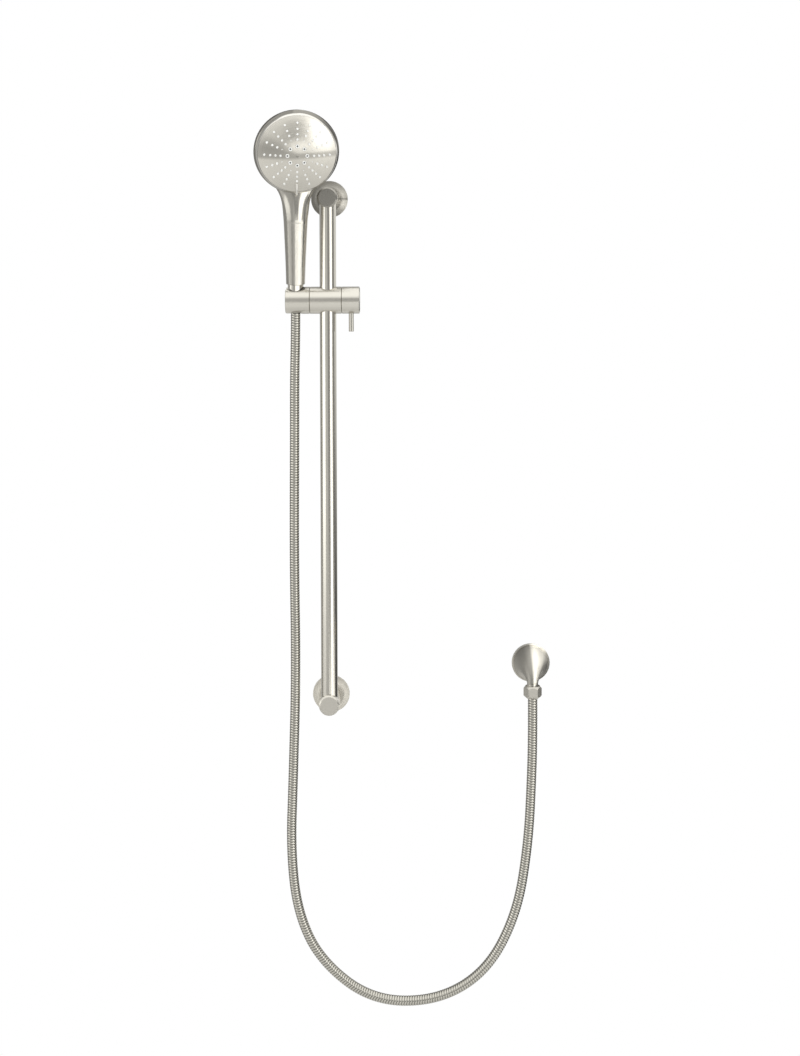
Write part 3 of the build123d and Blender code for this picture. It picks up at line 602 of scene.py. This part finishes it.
by_slot = {
    "rail_metal": "rail",
    "nickel_satin": "satin",
    "nickel_polished": "polished",
    "nickel_zinc": "slider",
    "handset_plated": "handle",
    "face_plated": "face",
    "bezel_plated": "bezel",
    "nozzle_silicone": "silicone",
    "jet_plastic": "jet",
    "inner_plastic": "natural",
    "guide_plastic": "guide",
    "seal_rubber": "rubber",
    "raw_brass": "brass",
    "fixing_steel": "steel",
    "hose_metal": "hose",
    "hose_liner": "liner",
}
for node in nodes.values():
    for slot in node.material_slots:
        slot.material = materials[by_slot[slot.material.name.split(".")[0]]]
by_node = {
    "upper_cap": "painted_shade_cap",
    "lower_cap": "cap",
    "upper_flange": "upper_flange",
    "lower_flange": "lower_flange",
    "elbow_body": "elbow",
    "elbow_flange": "elbow",
    "hex_nut": "nut",
    "lever_pin": "lever",
}
for name, look in by_node.items():
    nodes[name].material_slots[0].material = materials[look]
for piece in hose_pieces:
    piece.data.materials.append(materials["hose"])


# ------------------------------------------------------------------ studio
BASE_LEVEL = 0.85
# Each row covers the rows before it: turn from and to, rise from and to, level, softness.
PANELS = [
    ((-190, 190), (-99, -45), 0.84, 5),
    ((-190, 190), (26, 99), 1.45, 8),
    ((-80, 85), (-60, -22), 0.98, 5),
    ((-190, -86), (-42, 60), 0.50, 5),
    ((95, 190), (-42, 40), 0.95, 5),
    ((-190, -120), (10, 45), 0.35, 6),
    ((120, 190), (10, 45), 0.35, 6),
    ((-95, -45), (-22, -10.5), 0.90, 2),
    ((-45, -2), (-22, -12.5), 0.55, 2.5),
    ((-2, 92), (-22, -13.5), 1.95, 2),
    ((-86, -40), (-10.5, 18), 1.95, 2),
    ((-40, -4), (-13.8, 18), 0.70, 2),
    ((-4, 28), (-13.8, 18), 0.36, 2),
    ((28, 60), (-13.8, 18), 2.20, 2),
    ((60, 96), (-13.0, 18), 0.33, 2),
    ((85, 150), (-40, -6), 0.10, 6),
]


def make_world():
    """White studio with soft panels, each a window of directions."""
    world = bpy.data.worlds.new("studio")
    scene.world = world
    world.use_nodes = True
    tree = world.node_tree
    tree.nodes.clear()

    def add(kind, **values):
        node = tree.nodes.new(kind)
        for key, value in values.items():
            setattr(node, key, value)
        return node

    def calc(kind, first, second=None):
        node = add("ShaderNodeMath", operation=kind)
        for slot, value in zip(node.inputs, (first, second)):
            if isinstance(value, (int, float)):
                slot.default_value = value
            elif value is not None:
                tree.links.new(value, slot)
        return node.outputs[0]

    def step(value, edge, soft):
        node = add("ShaderNodeMapRange", interpolation_type="SMOOTHSTEP")
        node.inputs["From Min"].default_value = edge - soft
        node.inputs["From Max"].default_value = edge + soft
        tree.links.new(value, node.inputs["Value"])
        return node.outputs["Result"]

    direction = add("ShaderNodeTexCoord").outputs["Generated"]
    split = add("ShaderNodeSeparateXYZ")
    tree.links.new(direction, split.inputs[0])
    x, y, z = split.outputs
    turn = calc("DEGREES", calc("ARCTAN2", x, calc("MULTIPLY", y, -1.0)))
    rise = calc("DEGREES", calc("ARCSINE", z))

    def panel(turns, rises, soft):
        """1 inside a window of directions, 0 outside. Turn is to the right, rise is upward."""
        inside = calc("SUBTRACT", step(turn, turns[0], soft), step(turn, turns[1], soft))
        band = calc("SUBTRACT", step(rise, rises[0], soft), step(rise, rises[1], soft))
        return calc("MULTIPLY", inside, band)

    total = BASE_LEVEL
    for turns, rises, strength, soft in PANELS:
        window = panel(turns, rises, soft)
        kept = calc("MULTIPLY", calc("SUBTRACT", 1.0, window), total)
        total = calc("ADD", calc("MULTIPLY", window, strength), kept)

    surround = add("ShaderNodeBackground")
    surround.inputs["Color"].default_value = (1.0, 1.0, 0.975, 1.0)
    tree.links.new(total, surround.inputs["Strength"])
    paper = add("ShaderNodeBackground")
    paper.inputs["Color"].default_value = (1.0, 1.0, 1.0, 1.0)
    paper.inputs["Strength"].default_value = 1.0
    mix = add("ShaderNodeMixShader")
    tree.links.new(add("ShaderNodeLightPath").outputs["Is Camera Ray"], mix.inputs[0])
    tree.links.new(surround.outputs[0], mix.inputs[1])
    tree.links.new(paper.outputs[0], mix.inputs[2])
    tree.links.new(mix.outputs[0], add("ShaderNodeOutputWorld").inputs["Surface"])
    world.cycles.sampling_method = "MANUAL"
    world.cycles.sample_map_resolution = 512


def make_floor():
    """Pale floor well below the hose, which fades into the white surround."""
    bpy.ops.mesh.primitive_circle_add(vertices=96, radius=6.0, fill_type="NGON")
    floor = bpy.context.object
    floor.name = "floor"
    floor.location = (0.1, 0.0, -1.45)
    tool = Nodes("floor_paper")
    tool.set(Roughness=0.9)
    tool.set(Base_Color=(0.86, 0.86, 0.85, 1.0))
    glow = tool.add("ShaderNodeEmission")
    glow.inputs["Color"].default_value = (1.0, 1.0, 1.0, 1.0)
    reach = tool.vector("LENGTH", tool.coordinates, (0, 0, 0)).outputs["Value"]
    fade = tool.spread(reach, 0.0, 1.0, 0.15, 0.9)
    mix = tool.add("ShaderNodeMixShader")
    tool.join(fade, mix.inputs[0])
    tool.join(tool.shader.outputs[0], mix.inputs[1])
    tool.join(glow.outputs[0], mix.inputs[2])
    output = next(n for n in tool.tree.nodes if n.type == "OUTPUT_MATERIAL")
    tool.join(mix.outputs[0], output.inputs["Surface"])
    floor.data.materials.append(tool.material)
    floor.visible_glossy = False
    floor.visible_diffuse = False


def make_light():
    """Large soft panel above and in front, for the plastic and rubber parts."""
    data = bpy.data.lights.new("soft_panel", "AREA")
    data.shape = "RECTANGLE"
    data.size = 2.4
    data.size_y = 1.6
    data.energy = 45.0
    light = bpy.data.objects.new("soft_panel", data)
    scene.collection.objects.link(light)
    light.location = (-0.6, -2.4, 2.6)
    aim = Vector((0.0, 0.0, 0.1)) - light.location
    light.rotation_euler = aim.to_track_quat("-Z", "Y").to_euler()
    light.visible_glossy = False


make_world()
make_floor()
make_light()
scene.view_settings.view_transform = "Standard"
